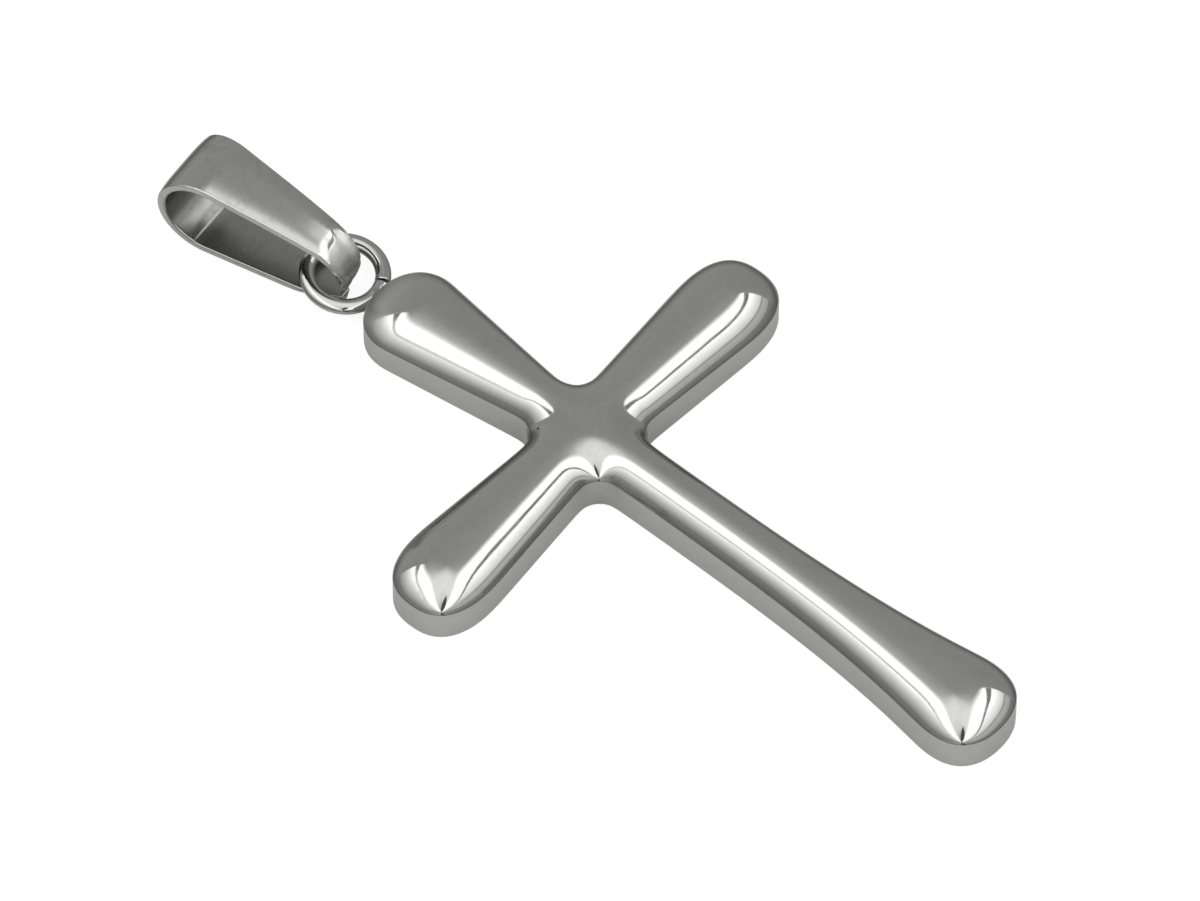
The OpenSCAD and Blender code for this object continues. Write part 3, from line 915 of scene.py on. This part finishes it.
tint = maths(tree, "MULTIPLY", side, AHEAD_TINT)
tint = maths(tree, "MULTIPLY", tint, scaled(lean_ahead, TINT_FROM, TINT_TO))
strength = maths(tree, "MULTIPLY", maths(tree, "SUBTRACT", 1.0, tint), BRIGHTEST)
background = tree.nodes["Background"]
tree.links.new(strength, background.inputs["Strength"])
tree.links.new(cloths, background.inputs["Color"])
print("tent rows:", len(LEFT_CLOTH), len(RIGHT_CLOTH), len(MIDDLE_CLOTH))

# %% [markdown]
# The table is a sheet of pale, glossy plastic that glows from below, as product
# tables do, so hardly any shadow shows on it. The steel mirrors its upper side,
# which is matt where it is seen steeply and shines more the flatter it is seen.
# A floor with one plain material would either lose its white or make the
# mirrored rims of the cross too bright.

# %% Floor
FLOOR_HALF, FLOOR_STEPS, FLOOR_DROP = 1.6, 5, 0.00001
PALE_TONE, PALE_ROUGHNESS, PALE_GLOW = 0.26, 0.6, 0.84
MATT_TONE, SHEEN_TONE, SHEEN_ROUGHNESS = 0.62, 0.9, 0.18
# How flat the floor is seen, from 0 for straight on to 1: where the sheen takes over from
# the matt look, where it is weakest and strongest, and how weak it is there
SHEEN_SHOWS, SHEEN_GROWS, SHEEN_LEAST = (0.25, 0.6), (0.45, 0.9), 0.2


def floor_points():
    """A level square grid, a hair under the pendant's back."""
    line = np.linspace(-FLOOR_HALF, FLOOR_HALF, FLOOR_STEPS)
    x, y = np.meshgrid(line, line)
    return np.stack([x, y, 0 * x - FLOOR_DROP], -1).reshape(-1, 3) / MM


floor = make_piece("floor", floor_points(), [grid_faces(FLOOR_STEPS, FLOOR_STEPS, round_columns=False)])
floor_paint = bpy.data.materials.new("glowing pale table")
floor_paint.use_nodes = True
tree = floor_paint.node_tree
shader = tree.nodes["Principled BSDF"]
shader.inputs["Base Color"].default_value = (*(PALE_TONE,) * 3, 1)
shader.inputs["Roughness"].default_value = PALE_ROUGHNESS
shader.inputs["Emission Color"].default_value = (1, 1, 1, 1)
shader.inputs["Emission Strength"].default_value = PALE_GLOW
matt = add(tree, "BsdfDiffuse", Color=(*(MATT_TONE,) * 3, 1))
gloss = add(tree, "BsdfGlossy", Color=(*(SHEEN_TONE,) * 3, 1), Roughness=SHEEN_ROUGHNESS)
unlit = add(tree, "BsdfDiffuse", Color=(0, 0, 0, 1))
facing = add(tree, "LayerWeight", Blend=0.5)
shows = add(tree, "MapRange", interpolation_type="SMOOTHSTEP")
shows.inputs["From Min"].default_value, shows.inputs["From Max"].default_value = SHEEN_SHOWS
grows = add(tree, "MapRange")
grows.inputs["From Min"].default_value, grows.inputs["From Max"].default_value = SHEEN_GROWS
grows.inputs["To Min"].default_value = SHEEN_LEAST
for node in (shows, grows):
    tree.links.new(facing.outputs["Facing"], node.inputs["Value"])


def mixed(share, first, second):
    """Two shaders mixed by a share of the second, given as output sockets."""
    node = add(tree, "MixShader")
    for socket, value in zip(node.inputs, (share, first, second)):
        tree.links.new(value, socket)
    return node.outputs[0]


sheen = mixed(grows.outputs[0], unlit.outputs[0], gloss.outputs[0])
upper = mixed(shows.outputs[0], matt.outputs[0], sheen)
seen = mixed(add(tree, "LightPath").outputs["Is Camera Ray"], upper, shader.outputs[0])
tree.links.new(seen, tree.nodes["Material Output"].inputs["Surface"])
floor.data.materials.append(floor_paint)

# %% [markdown]
# A plain view transform keeps the steel's greys as the lights give them, because
# a filmic one would lift the dark reflections and flatten the bright bands.

# %% Colour and finish
bpy.context.scene.view_settings.view_transform = "Standard"
bpy.context.scene.view_settings.look = "None"
bpy.context.scene.view_settings.exposure = 0.0
